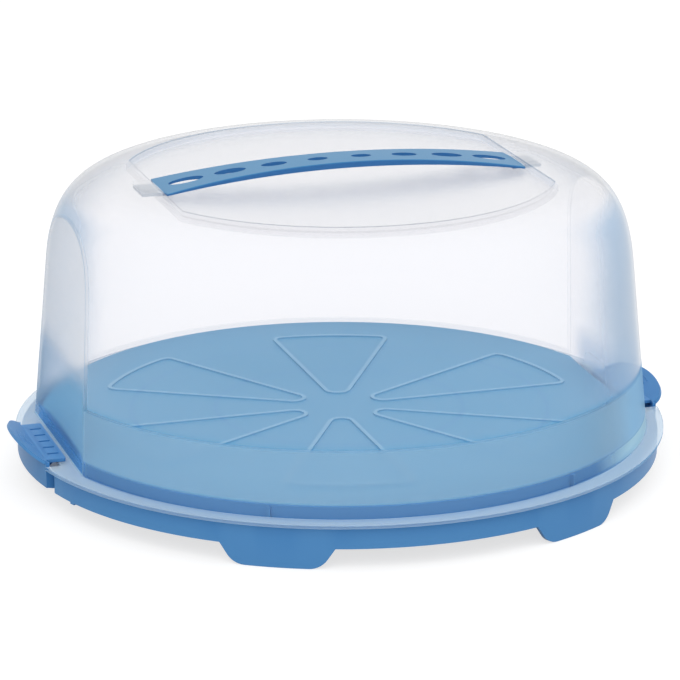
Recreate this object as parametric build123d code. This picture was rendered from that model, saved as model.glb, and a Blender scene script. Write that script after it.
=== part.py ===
from build123d import *
import os
from math import cos, hypot, radians, sin, sqrt, tan

# Round cake carrier: a moulded tray with a raised cake plate, a clear domed lid that drops over
# the plate, a strap handle snapped into the lid, and a hooked latch on each side of the tray.
# All sizes are millimetres. +Z is up, the feet stand on Z = 0 and the latches lie on the X axis.

# ---------------------------------------------------------------- tray
TRAY_WALL = 2.0
SKIRT_RADIUS = 169.5
SHELF_EDGE_ROUND = 0.5
SKIRT_DEPTH = 11.2  # from the shelf down to the skirt's lower edge between the feet
RIM_HEIGHT = 21.7  # top of the shelf that carries the lid's flange
SHELF_WIDTH = 10.9  # from the skirt to the plate's round edge
PLATE_RISE = 7.6  # of the plate above the shelf
PLATE_THICKNESS = 2.2
PLATE_EDGE_ROUND = 1.2
FLAT_DEPTH = 9.2  # of the plate's hollow-curved flats, at their middle
FLAT_CURVE = 640.0  # radius of those flats
NOTCH_BEHIND_PLATE = 0.6  # from the plate's round edge in to the wall behind each latch
NOTCH_CORNER_ROUND = 2.4  # where the skirt turns into a notch

# feet, each a tab of the skirt with gussets behind it
FOOT_ANGLE = 62.0  # degrees from the X axis, mirrored into four feet
FOOT_HALF_TOP = 29.0
FOOT_HALF_BOTTOM = 21.9
FOOT_CORNER_ROUND = 11.0
FOOT_GUSSETS = 3
FOOT_GUSSET_PITCH = 5.0  # degrees
FOOT_GUSSET_CHAMFER = 5.0

# small nubs under the skirt, between the latches and the feet
NUB_ANGLE = 19.4  # degrees from the X axis, mirrored into four nubs
NUB_HALF_WIDTH = 1.6
NUB_DROP = 0.9

# ribs under the plate
RIB_THICKNESS = 1.6
RIB_DEPTH = 7.0
RADIAL_RIBS = 12
HUB_RIB_RADIUS = 20.0
RING_RIB_RADII = (66.0, 111.0)

# raised slice marks on the plate
SLICE_COUNT = 6
SLICE_ANGLE = 30.0  # degrees covered by one outlined slice
SLICE_START = 15.0  # degrees from the X axis to the middle of the first slice
SLICE_FROM_EDGE = 28.1  # between the marks and the plate's round edge
SLICE_TIP_RADIUS = 21.0
SLICE_CORNER_ROUND = 6.0
SLICE_LINE_WIDTH = 2.2
SLICE_LINE_HEIGHT = 0.7

# upright ribs that centre the lid on the plate
CENTRING_RIB_ANGLE = 60.0  # degrees from the X axis, mirrored into four ribs
CENTRING_RIB_WIDTH = 1.8
CENTRING_RIB_TOP_GAP = 1.5  # below the plate's top

# ---------------------------------------------------------------- lid
LID_WALL = 1.8
LID_OVER_PLATE = 3.0  # gap between the plate's round edge and the lid's wall, at the flange
LID_OVER_FLAT = 0.9  # the same, at the corners of the flats
LID_SEAT_GAP = 0.2
CENTRING_CLEARANCE = 0.4
FLANGE_OVERHANG = 3.0  # past the skirt
FLANGE_THICKNESS = 1.7
FLANGE_OVER_NOTCH = 2.5  # past the wall behind each latch
FLANGE_CUT_CLEARANCE = 0.5  # each side of the latch
FLANGE_ROOT_ROUND = 0.8  # where the wall runs into the flange
FLANGE_EDGE_ROUND = 0.4
LID_DRAFT = 5.6  # degrees
FLAT_DRAFT = 3.8  # degrees
FLAT_EDGE_ROUND = 4.0
LID_TOP = 158.6
SHOULDER_DEPTH = 47.2  # from the lid's top down to the end of its straight wall
SHOULDER_FULLNESS = 0.75  # 0 is a chamfer, 1 is a sharp corner
LAND_INSET = 54.5  # from the lid's foot in to where the shoulder runs out level
DISH_PAST_LAND = 4.7  # the dish's circle reaches this far into the shoulder
DISH_FLAT_INSET = 9.6  # from the end of the shoulder in to the dish's straight ends
DISH_DEPTH = 3.8
DISH_RIM_ROUND = 0.6
DISH_FLOOR_ROUND = 0.8

# ---------------------------------------------------------------- handle
HANDLE_END_GAP = 0.5  # between the handle's ends and the dish's straight ends
HANDLE_ABOVE_LID = 7.35
HANDLE_RISE = 8.8  # of the top face, from the ends to the middle
HANDLE_EDGE_MIDDLE = 3.2  # depth of the strap's edge
HANDLE_EDGE_END = 1.0
HANDLE_HALF_WAIST = 11.8
WAIST_CURVE = 900.0  # radius of the waisted sides
HANDLE_TOP_ROUND = 0.6
HOLLOW_DEPTH = 1.5  # of the shallow hollow along the strap's top, at its middle
HOLLOW_EDGE_INSET = 1.8  # from the waist in to the hollow
HOLE_SIZES = ((5.4, 3.0), (6.9, 3.6), (8.4, 4.4), (9.3, 4.8))  # half length, half width
HOLE_END_MARGIN = 6.4  # between the outermost hole and the strap's end
TONGUE_REACH = 9.5  # past the dish's straight end
TONGUE_HALF_WIDTH = 10.0
TONGUE_THICKNESS = 1.5
TONGUE_CLEARANCE = 0.2
ROOT_PAST_HOLE = 0.6  # from the outermost hole to the block that joins tongue and strap

# ---------------------------------------------------------------- latches
LATCH_HALF_WIDTH = 34.7
LATCH_SIDE_GAP = 1.9  # to the cheeks of the notch
LATCH_PROUD = 2.1  # of the skirt
LATCH_WALL = 1.8
LATCH_BELOW_RIM = 9.7
HINGE_FROM_NOTCH = 3.8  # from the wall behind the latch out to the hinge axis
HINGE_BELOW_RIM = 7.5
PIN_RADIUS = 1.8
PIN_CLEARANCE = 0.08
EYE_WALL = 1.3
EYE_THICKNESS = 2.4
HOOK_GAP = 0.3  # between the hook plate and the lid's flange
HOOK_THICKNESS = 1.7
HOOK_SIDE_INSET = 4.7  # from the latch's ends
HOOK_BEHIND_FLAT = 2.6  # between the lid's flat wall and the hook's inner edge
HOOK_CORNER_ROUND = 1.5
GRIP_INSET = 4.6  # from the latch's outer wall in to the line where the grip turns up
GRIP_SIDE_INSET = 0.7
GRIP_LENGTH = 12.6
GRIP_TILT = 31.0  # degrees
GRIP_THICKNESS = 1.7
GROOVE_COUNT = 5
GROOVE_PITCH = 10.4
GROOVE_LENGTH = 6.2
GROOVE_WIDTH = 2.0
GROOVE_DEPTH = 0.9
GROOVE_FROM_EDGE = 4.8  # from the hook's inner edge to the middle of the grooves
STIFFENER_COUNT = 5
STIFFENER_PITCH = 13.0
STIFFENER_THICKNESS = 1.4

BEYOND = 40.0  # how far cutting shapes run past what they cut

# ---------------------------------------------------------------- sizes that follow
SKIRT_BOTTOM = RIM_HEIGHT - SKIRT_DEPTH
PLATE_RADIUS = SKIRT_RADIUS - SHELF_WIDTH
PLATE_HEIGHT = RIM_HEIGHT + PLATE_RISE
FLAT_MIDDLE = PLATE_RADIUS - FLAT_DEPTH
FLAT_CENTRE = FLAT_MIDDLE + FLAT_CURVE
FLAT_CORNER = (PLATE_RADIUS**2 - FLAT_CURVE**2 + FLAT_CENTRE**2) / (2 * FLAT_CENTRE)
NOTCH_FACE = PLATE_RADIUS - NOTCH_BEHIND_PLATE
NOTCH_HALF_WIDTH = LATCH_HALF_WIDTH + LATCH_SIDE_GAP
SLICE_OUTER_RADIUS = PLATE_RADIUS - SLICE_FROM_EDGE
FLANGE_BOTTOM = RIM_HEIGHT + LID_SEAT_GAP
FLANGE_TOP = FLANGE_BOTTOM + FLANGE_THICKNESS
FLANGE_RADIUS = SKIRT_RADIUS + FLANGE_OVERHANG
FLANGE_AT_LATCH = NOTCH_FACE + FLANGE_OVER_NOTCH
LID_FOOT_RADIUS = PLATE_RADIUS + LID_OVER_PLATE + LID_WALL
LID_FLAT = FLAT_CORNER + LID_OVER_FLAT + LID_WALL
SHOULDER_START = LID_TOP - SHOULDER_DEPTH
LAND_RADIUS = LID_FOOT_RADIUS - LAND_INSET
DISH_RADIUS = LAND_RADIUS + DISH_PAST_LAND
DISH_FLAT = LAND_RADIUS - DISH_FLAT_INSET
DISH_FLOOR = LID_TOP - DISH_DEPTH
HANDLE_TOP = LID_TOP + HANDLE_ABOVE_LID
HANDLE_END_TOP = HANDLE_TOP - HANDLE_RISE
HANDLE_END_RADIUS = DISH_FLAT - HANDLE_END_GAP
OUTERMOST_HOLE = HANDLE_END_RADIUS - HOLE_END_MARGIN - HOLE_SIZES[-1][0]  # its middle
LATCH_RADIUS = SKIRT_RADIUS + LATCH_PROUD
LATCH_BOTTOM = RIM_HEIGHT - LATCH_BELOW_RIM
HINGE_OUT = NOTCH_FACE + HINGE_FROM_NOTCH
HINGE_HEIGHT = RIM_HEIGHT - HINGE_BELOW_RIM
HOOK_BOTTOM = FLANGE_TOP + HOOK_GAP
HOOK_TOP = HOOK_BOTTOM + HOOK_THICKNESS
GRIP_START = LATCH_RADIUS - GRIP_INSET
GRIP_HALF_WIDTH = LATCH_HALF_WIDTH - GRIP_SIDE_INSET


def prism(plan, low, high):
    """A plan drawn on the XY plane, raised between two heights."""
    return extrude(Pos(0, 0, low) * plan, amount=high - low, dir=(0, 0, 1))


def side_prism(section, half_width):
    """A section drawn in X and Z, carried half_width to each side of the XZ plane."""
    return extrude(Plane.XZ * section, amount=half_width, both=True)


def on_both_sides(shape):
    """The shape and its copy turned half a turn about Z."""
    return shape + Rot(0, 0, 180) * shape


def strip(inner, outer, half_width):
    """A rectangle in plan, from inner to outer along +X."""
    return Pos((inner + outer) / 2, 0) * Rectangle(outer - inner, 2 * half_width)


# ---------------------------------------------------------------- tray
def plate_plan(inset=0.0):
    """Outline of the cake plate: a circle with a hollow-curved flat at each latch."""
    flat = Pos(FLAT_CENTRE, 0) * Circle(FLAT_CURVE + inset)
    return Circle(PLATE_RADIUS - inset) - flat - Rot(0, 0, 180) * flat


def skirt_plan(inset=0.0):
    """Outline of the skirt with the two latch notches."""
    notch = strip(NOTCH_FACE - inset, SKIRT_RADIUS + BEYOND, NOTCH_HALF_WIDTH + inset)
    plan = Circle(SKIRT_RADIUS - inset) - notch - Rot(0, 0, 180) * notch
    corners = [corner for corner in plan.vertices() if abs(corner.X) > NOTCH_FACE]
    return fillet(corners, NOTCH_CORNER_ROUND - inset)


def tray_shell():
    """Plate, shelf and skirt as one even wall, open underneath and cut away between the feet."""
    plate = prism(plate_plan(), SKIRT_BOTTOM, PLATE_HEIGHT)
    plate = fillet(plate.edges().group_by(Axis.Z)[-1], PLATE_EDGE_ROUND)
    skirt = prism(skirt_plan(), 0, RIM_HEIGHT)
    skirt = fillet(skirt.edges().group_by(Axis.Z)[-1], SHELF_EDGE_ROUND)
    under_plate = prism(plate_plan(TRAY_WALL), -BEYOND, PLATE_HEIGHT - PLATE_THICKNESS)
    under_shelf = prism(skirt_plan(TRAY_WALL), -BEYOND, RIM_HEIGHT - TRAY_WALL)
    between_feet = prism(Circle(SKIRT_RADIUS + BEYOND), -BEYOND, SKIRT_BOTTOM)
    for angle in mirrored_angles(FOOT_ANGLE):
        between_feet -= Rot(0, 0, angle) * foot_window()
    for angle in mirrored_angles(NUB_ANGLE):
        between_feet -= Rot(0, 0, angle) * nub_window()
    return plate + skirt - under_plate - under_shelf - between_feet


def mirrored_angles(angle):
    """An angle from the X axis and its mirror images in both axes."""
    return (angle, 180 - angle, 180 + angle, -angle)


def foot_window():
    """The part of the skirt that a foot keeps: a trapezoid with rounded lower corners, along +X."""
    top = SKIRT_BOTTOM + TRAY_WALL
    spread = (FOOT_HALF_TOP - FOOT_HALF_BOTTOM) / SKIRT_BOTTOM
    half_top = FOOT_HALF_BOTTOM + spread * top
    corners = [(-half_top, top), (-FOOT_HALF_BOTTOM, 0), (FOOT_HALF_BOTTOM, 0), (half_top, top)]
    outline = make_face(Polyline(*corners, close=True))
    outline = fillet(outline.vertices().group_by(Axis.Y)[0], FOOT_CORNER_ROUND)
    start = Plane.YZ.offset(FLAT_MIDDLE)
    return extrude(start * outline, amount=SKIRT_RADIUS - FLAT_MIDDLE + BEYOND, dir=(1, 0, 0))


def nub_window():
    """The part of the skirt that a nub keeps, along +X."""
    plan = strip(FLAT_MIDDLE, SKIRT_RADIUS + BEYOND, NUB_HALF_WIDTH)
    return prism(plan, SKIRT_BOTTOM - NUB_DROP, SKIRT_BOTTOM + TRAY_WALL)


def foot_gusset():
    """A radial web behind a foot, reaching in to the wall of the plate, along +X."""
    inner = PLATE_RADIUS - TRAY_WALL
    outer = SKIRT_RADIUS - TRAY_WALL / 2
    top = RIM_HEIGHT - TRAY_WALL / 2
    cut = FOOT_GUSSET_CHAMFER
    section = Polyline((inner, top), (inner, cut), (inner + cut, 0), (outer, 0), (outer, top), close=True)
    return side_prism(make_face(section), RIB_THICKNESS / 2)


def gussets():
    """The webs behind the four feet."""
    middle = (FOOT_GUSSETS - 1) / 2
    turns = [(index - middle) * FOOT_GUSSET_PITCH for index in range(FOOT_GUSSETS)]
    webs = [
        Rot(0, 0, foot + turn) * foot_gusset() for foot in mirrored_angles(FOOT_ANGLE) for turn in turns
    ]
    return Part() + webs


def under_ribs():
    """Radial and ring ribs that stiffen the plate from below."""
    top = PLATE_HEIGHT - PLATE_THICKNESS / 2
    low = PLATE_HEIGHT - PLATE_THICKNESS - RIB_DEPTH
    plan = Circle(HUB_RIB_RADIUS) - Circle(HUB_RIB_RADIUS - RIB_THICKNESS)
    for radius in RING_RIB_RADII:
        plan += Circle(radius + RIB_THICKNESS / 2) - Circle(radius - RIB_THICKNESS / 2)
    spoke = strip(HUB_RIB_RADIUS - RIB_THICKNESS / 2, PLATE_RADIUS, RIB_THICKNESS / 2)
    for index in range(RADIAL_RIBS):
        plan += Rot(0, 0, index * 360 / RADIAL_RIBS) * spoke
    return prism(plan & plate_plan(TRAY_WALL / 2), low, top)


def slice_outline():
    """A slice mark: two radial lines, an arc outside and a round tip, pointing along +X."""
    half = radians(SLICE_ANGLE / 2)
    reach = SLICE_OUTER_RADIUS
    edge = (reach * cos(half), reach * cos(half) * tan(half))
    wedge = make_face(
        Line((0, 0), edge)
        + ThreePointArc(edge, (reach, 0), (edge[0], -edge[1]))
        + Line((edge[0], -edge[1]), (0, 0))
    )
    # a circle that touches both lines and reaches the tip radius
    tip_round = SLICE_TIP_RADIUS * sin(half) / (1 - sin(half))
    corners = wedge.vertices().sort_by(Axis.X)
    wedge = fillet(corners[0], tip_round)
    wedge = fillet(wedge.vertices().sort_by(Axis.X)[-2:], SLICE_CORNER_ROUND)
    return wedge - offset(wedge, amount=-SLICE_LINE_WIDTH)


def slice_marks():
    """All slice marks, standing on the plate."""
    low = PLATE_HEIGHT - PLATE_THICKNESS / 2
    mark = prism(slice_outline(), low, PLATE_HEIGHT + SLICE_LINE_HEIGHT)
    step = 360 / SLICE_COUNT
    return Part() + [Rot(0, 0, SLICE_START + index * step) * mark for index in range(SLICE_COUNT)]


def centring_ribs():
    """Upright ribs on the plate's edge that keep the lid central."""
    top = PLATE_HEIGHT - CENTRING_RIB_TOP_GAP
    reach = lid_radius(top, LID_WALL) - CENTRING_CLEARANCE
    plan = strip(PLATE_RADIUS - TRAY_WALL / 2, reach, CENTRING_RIB_WIDTH / 2)
    rib = prism(plan, RIM_HEIGHT - TRAY_WALL / 2, top)
    return Part() + [Rot(0, 0, angle) * rib for angle in mirrored_angles(CENTRING_RIB_ANGLE)]


def hinge_bores():
    """The holes in the notch cheeks that the latch pins turn in."""
    length = 2 * (NOTCH_HALF_WIDTH + 2 * TRAY_WALL)
    bore = Pos(HINGE_OUT, 0, HINGE_HEIGHT) * Rot(90, 0, 0) * Cylinder(PIN_RADIUS + PIN_CLEARANCE, length)
    return on_both_sides(bore)


def base_tray():
    """The tray, one moulding."""
    tray = tray_shell() + under_ribs() + gussets()
    return tray + slice_marks() + centring_ribs() - hinge_bores()


# ---------------------------------------------------------------- lid
def lid_radius(height, inset=0.0):
    """Radius of the lid's round wall at a height."""
    lean = radians(LID_DRAFT)
    return LID_FOOT_RADIUS - (height - FLANGE_TOP) * tan(lean) - inset / cos(lean)


def lid_flat(height, inset=0.0):
    """Distance from the centre to the lid's flat side at a height."""
    lean = radians(FLAT_DRAFT)
    return LID_FLAT - (height - FLANGE_TOP) * tan(lean) - inset / cos(lean)


def toward(start, end, share):
    """The point a share of the way from start to end."""
    return (start[0] + share * (end[0] - start[0]), start[1] + share * (end[1] - start[1]))


def bell(inset, bottom, edge_round):
    """The lid's dome as a solid: a drafted wall, a full shoulder and a flat on each side."""
    top = LID_TOP - inset
    foot = (lid_radius(bottom, inset), bottom)
    shoulder = (lid_radius(SHOULDER_START, inset), SHOULDER_START)
    land = (LAND_RADIUS, top)
    corner = (lid_radius(top, inset), top)
    wall_pull = toward(shoulder, corner, SHOULDER_FULLNESS)
    land_pull = toward(land, corner, SHOULDER_FULLNESS)
    outline = (
        Line((0, bottom), foot)
        + Line(foot, shoulder)
        + Bezier(shoulder, wall_pull, land_pull, land)
        + Line(land, (0, top))
        + Line((0, top), (0, bottom))
    )
    dome = revolve(Plane.XZ * make_face(outline), Axis.Z)
    far = LID_FOOT_RADIUS + BEYOND
    high = LID_TOP + BEYOND
    low = bottom - BEYOND
    flat_low = (lid_flat(low, inset), low)
    flat_high = (lid_flat(high, inset), high)
    side = Polyline(flat_low, flat_high, (far, high), (far, low), close=True)
    dome -= on_both_sides(side_prism(make_face(side), LID_FOOT_RADIUS))
    flats = [face for face in dome.faces().filter_by(GeomType.PLANE) if abs(face.normal_at().X) > 0.9]
    edges = [edge for face in flats for edge in face.edges() if edge.center().Z > bottom + 1]
    return fillet(edges, edge_round)


def dish_plan(inset=0.0):
    """Outline of the dish in the lid's top: a circle with two straight ends."""
    return Circle(DISH_RADIUS + inset) & Rectangle(2 * (DISH_FLAT + inset), 2 * (DISH_RADIUS + BEYOND))


def flange_plan():
    """The flange, cut back where the latch stands outside it."""
    half_width = LATCH_HALF_WIDTH + FLANGE_CUT_CLEARANCE
    cut = strip(FLANGE_AT_LATCH, FLANGE_RADIUS + BEYOND, half_width)
    return Circle(FLANGE_RADIUS) - cut - Rot(0, 0, 180) * cut


def at_lid_wall(point):
    """Whether a point lies on the outline of the lid's wall, and not on the flange's edge."""
    slack = FLANGE_EDGE_ROUND
    inside_circle = hypot(point.X, point.Y) < LID_FOOT_RADIUS + slack
    return inside_circle and abs(point.X) < LID_FLAT + slack


def dish_rim(solid, at_ends):
    """Edges of the dish's rim: those of its straight ends, or those of its round sides."""
    near_top = [edge for edge in solid.edges() if edge.center().Z > LID_TOP - DISH_RIM_ROUND]
    rim = [edge for edge in near_top if edge.geom_type in (GeomType.LINE, GeomType.BSPLINE)]
    return [edge for edge in rim if (DISH_FLAT - abs(edge.center().X) < DISH_RIM_ROUND) == at_ends]


def dome():
    """The lid's outside above the flange, with the dish sunk into it."""
    solid = bell(0, FLANGE_BOTTOM, FLAT_EDGE_ROUND)
    solid -= prism(dish_plan(), DISH_FLOOR, LID_TOP + BEYOND)
    solid = fillet(dish_rim(solid, at_ends=False), DISH_RIM_ROUND)
    solid = fillet(dish_rim(solid, at_ends=True), DISH_RIM_ROUND)
    near_floor = [edge for edge in solid.edges() if abs(edge.center().Z - DISH_FLOOR) < DISH_RIM_ROUND]
    level = [edge for edge in near_floor if edge.bounding_box().size.Z < DISH_RIM_ROUND]
    return fillet(level, DISH_FLOOR_ROUND)


def lid_hood():
    """The clear lid: dome, dish, flange and the two slots that take the handle's tongues."""
    flange = prism(flange_plan(), FLANGE_BOTTOM, FLANGE_TOP)
    flange = fillet(flange.edges().group_by(Axis.Z)[-1], FLANGE_EDGE_ROUND)
    outside = dome() + flange
    on_flange = [edge for edge in outside.edges() if abs(edge.center().Z - FLANGE_TOP) < FLANGE_EDGE_ROUND]
    root = [edge for edge in on_flange if at_lid_wall(edge @ 0.5)]
    outside = fillet(root, FLANGE_ROOT_ROUND)
    inside = bell(LID_WALL, FLANGE_BOTTOM - BEYOND, FLAT_EDGE_ROUND - LID_WALL)
    inside -= prism(dish_plan(LID_WALL), DISH_FLOOR - LID_WALL, LID_TOP + BEYOND)
    slot_plan = strip(DISH_FLAT - LID_WALL, DISH_FLAT + 2 * LID_WALL, TONGUE_HALF_WIDTH + TONGUE_CLEARANCE)
    slot = prism(slot_plan, DISH_FLOOR, LID_TOP - LID_WALL)
    return outside - inside - on_both_sides(slot)


# ---------------------------------------------------------------- handle
def strap_plan():
    """Outline of the strap: waisted sides and round ends that follow the lid."""
    side = Pos(0, HANDLE_HALF_WAIST + WAIST_CURVE) * Circle(WAIST_CURVE)
    return Circle(HANDLE_END_RADIUS) - side - mirror(side, Plane.XZ)


def arc_radius(half_chord, rise):
    """Radius of the arc that rises by rise over a chord."""
    return (half_chord**2 + rise**2) / (2 * rise)


def below_arc(middle, end):
    """Everything under an arc along X that is middle high at the centre and end high at the ends."""
    reach = HANDLE_END_RADIUS
    floor = DISH_FLOOR - BEYOND
    section = (
        ThreePointArc((-reach, end), (0, middle), (reach, end))
        + Polyline((reach, end), (reach, floor), (-reach, floor), (-reach, end))
    )
    return side_prism(make_face(section), HANDLE_HALF_WAIST + BEYOND)


def hollow_ring():
    """A large ring that presses a hollow into the strap's top, deep at the middle and nil at the ends."""
    run = arc_radius(HANDLE_END_RADIUS, HANDLE_RISE - HOLLOW_DEPTH)
    bow = arc_radius(HANDLE_HALF_WAIST - HOLLOW_EDGE_INSET, HOLLOW_DEPTH)
    return Pos(0, 0, HANDLE_TOP - HOLLOW_DEPTH - run) * Rot(90, 0, 0) * Torus(run + bow, bow)


def strap():
    """The strap, thinner toward its ends, with the hollow along its top and its eight holes."""
    top_arc = below_arc(HANDLE_TOP, HANDLE_END_TOP)
    body = prism(strap_plan(), DISH_FLOOR, HANDLE_TOP + BEYOND) & top_arc
    body = fillet(body.faces().sort_by(Axis.Z)[-1].edges(), HANDLE_TOP_ROUND)
    body -= below_arc(HANDLE_TOP - HANDLE_EDGE_MIDDLE, HANDLE_END_TOP - HANDLE_EDGE_END)
    body -= hollow_ring()
    pitch = OUTERMOST_HOLE / (len(HOLE_SIZES) - 0.5)
    for index, (half_length, half_width) in enumerate(HOLE_SIZES):
        hole = Pos((index + 0.5) * pitch, 0) * Ellipse(half_length, half_width)
        body -= on_both_sides(prism(hole, DISH_FLOOR, HANDLE_TOP + BEYOND))
    return body


def tongue():
    """The tongue at the +X end and the block that joins it to the strap."""
    low = DISH_FLOOR + TONGUE_CLEARANCE
    root_start = HANDLE_END_RADIUS - HOLE_END_MARGIN + ROOT_PAST_HOLE
    blade = strip(root_start, DISH_FLAT + TONGUE_REACH, TONGUE_HALF_WIDTH)
    block_plan = strip(root_start, HANDLE_END_RADIUS, TONGUE_HALF_WIDTH) & strap_plan()
    middle_of_strap = below_arc(HANDLE_TOP - HANDLE_EDGE_MIDDLE / 2, HANDLE_END_TOP - HANDLE_EDGE_END / 2)
    block = prism(block_plan, low, HANDLE_TOP) & middle_of_strap
    return prism(blade, low, low + TONGUE_THICKNESS) + block


def carry_handle():
    """The strap handle, one moulding."""
    return strap() + on_both_sides(tongue())


# ---------------------------------------------------------------- latches
def latch_plan(inset=0.0):
    """Outline of one latch: a slice of a circle on the +X side."""
    return Circle(LATCH_RADIUS - inset) & strip(0, LATCH_RADIUS + BEYOND, LATCH_HALF_WIDTH)


def latch_grip():
    """The grip: half an ellipse turned up and out from the hook plate."""
    oval = Ellipse(GRIP_LENGTH, GRIP_HALF_WIDTH) & strip(0, GRIP_LENGTH + BEYOND, GRIP_HALF_WIDTH)
    leaf = extrude(oval, amount=-GRIP_THICKNESS)
    return Pos(GRIP_START, 0, HOOK_TOP) * Rot(0, -GRIP_TILT, 0) * leaf


def latch_eye():
    """An end web with its pin, drawn on the XZ plane around the hinge axis."""
    eye = PIN_RADIUS + EYE_WALL
    wall_inside = sqrt((LATCH_RADIUS - LATCH_WALL / 2) ** 2 - LATCH_HALF_WIDTH**2)
    outline = Pos(HINGE_OUT, HINGE_HEIGHT) * Circle(eye)
    arm = Polyline(
        (HINGE_OUT, HINGE_HEIGHT + eye),
        (HINGE_OUT, HINGE_HEIGHT - eye),
        (wall_inside, LATCH_BOTTOM),
        (wall_inside, HOOK_BOTTOM - HOOK_GAP),
        close=True,
    )
    web = extrude(Plane.XZ * (outline + make_face(arm)), amount=EYE_THICKNESS, dir=(0, 1, 0))
    web = Pos(0, -LATCH_HALF_WIDTH, 0) * web
    pin_length = NOTCH_HALF_WIDTH - LATCH_HALF_WIDTH + TRAY_WALL
    pin = Pos(HINGE_OUT, -LATCH_HALF_WIDTH - pin_length / 2, HINGE_HEIGHT) * Rot(90, 0, 0)
    return web + pin * Cylinder(PIN_RADIUS, pin_length)


def latch_stiffener():
    """A rib inside the latch, between its wall and its hook plate."""
    inner = FLANGE_AT_LATCH + 2 * HOOK_GAP
    outer = LATCH_RADIUS - LATCH_WALL / 2
    top = HOOK_BOTTOM + HOOK_THICKNESS / 2
    section = Polyline((inner, top), (outer, top), (outer, LATCH_BOTTOM + TRAY_WALL), close=True)
    return side_prism(make_face(section), STIFFENER_THICKNESS / 2)


def latch():
    """One latch, on the +X side, closed."""
    wall = prism(latch_plan() - latch_plan(LATCH_WALL), LATCH_BOTTOM, HOOK_TOP)
    hook_edge = lid_flat(HOOK_BOTTOM) + HOOK_BEHIND_FLAT
    hook_plan = strip(hook_edge, LATCH_RADIUS, LATCH_HALF_WIDTH - HOOK_SIDE_INSET)
    hook_plan = fillet(hook_plan.vertices().group_by(Axis.X)[0], HOOK_CORNER_ROUND)
    hook = prism(latch_plan() & hook_plan, HOOK_BOTTOM, HOOK_TOP)
    body = wall + hook + latch_grip() + latch_eye() + mirror(latch_eye(), Plane.XZ)
    for index in range(STIFFENER_COUNT):
        shift = (index - (STIFFENER_COUNT - 1) / 2) * STIFFENER_PITCH
        inside_wall = prism(Pos(0, -shift) * latch_plan(), LATCH_BOTTOM, HOOK_TOP)
        body += Pos(0, shift, 0) * (latch_stiffener() & inside_wall)
    for index in range(GROOVE_COUNT):
        shift = (index - (GROOVE_COUNT - 1) / 2) * GROOVE_PITCH
        groove = Pos(hook_edge + GROOVE_FROM_EDGE, shift) * SlotOverall(GROOVE_LENGTH, GROOVE_WIDTH)
        body -= prism(groove, HOOK_TOP - GROOVE_DEPTH, HOOK_TOP + GROOVE_DEPTH)
    return body


# ---------------------------------------------------------------- write the pieces
right = latch()
pieces = {
    "base_tray": base_tray(),
    "lid_hood": lid_hood(),
    "carry_handle": carry_handle(),
    "latch_right": right,
    "latch_left": Rot(0, 0, 180) * right,
}

os.makedirs("parts", exist_ok=True)
for name, piece in pieces.items():
    export_step(piece, f"parts/{name}.step")
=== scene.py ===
"""Round cake carrier with a clear drop-over lid: finishes, small details, floor, light and camera.

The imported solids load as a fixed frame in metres. +Z is up, the latches lie on the X axis and the
feet stand on Z = 0. Each sub-assembly is a class that dresses its solids and adds what they lack.
"""

from __future__ import annotations

import logging
import math
from dataclasses import dataclass, field
from enum import Enum

import bmesh
import bpy
from mathutils import Matrix, Vector


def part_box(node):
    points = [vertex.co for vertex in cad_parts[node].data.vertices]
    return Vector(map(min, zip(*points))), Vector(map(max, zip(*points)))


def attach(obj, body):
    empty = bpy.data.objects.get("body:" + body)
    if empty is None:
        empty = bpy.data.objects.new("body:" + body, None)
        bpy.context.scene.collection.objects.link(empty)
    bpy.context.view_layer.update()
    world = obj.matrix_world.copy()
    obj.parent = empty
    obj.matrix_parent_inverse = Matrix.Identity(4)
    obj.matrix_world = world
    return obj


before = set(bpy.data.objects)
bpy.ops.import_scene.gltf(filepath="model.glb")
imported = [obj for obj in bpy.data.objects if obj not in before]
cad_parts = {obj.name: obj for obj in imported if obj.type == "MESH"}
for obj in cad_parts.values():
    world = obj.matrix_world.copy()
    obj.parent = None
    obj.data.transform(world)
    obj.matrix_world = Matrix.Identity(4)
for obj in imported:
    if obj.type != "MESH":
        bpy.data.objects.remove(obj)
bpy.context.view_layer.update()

log = logging.getLogger("cake_carrier")

Colour = tuple[float, float, float]
Limits = tuple[float, float]
MM = 0.001
LID_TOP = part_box("lid_hood")[1].z
TONGUE_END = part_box("carry_handle")[1].x
TONGUE_START = TONGUE_END - 9.5 * MM
TONGUE_HALF_WIDTH = 10.2 * MM
DISH_RADIUS = TONGUE_START + 14.3 * MM
EDGE_POINTINESS = 0.52
WHITE = (1.0, 1.0, 1.0)


class Slot(Enum):
    """Material slots of the record."""

    BLUE = "blue_plastic"
    CLEAR = "clear_plastic"


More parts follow.
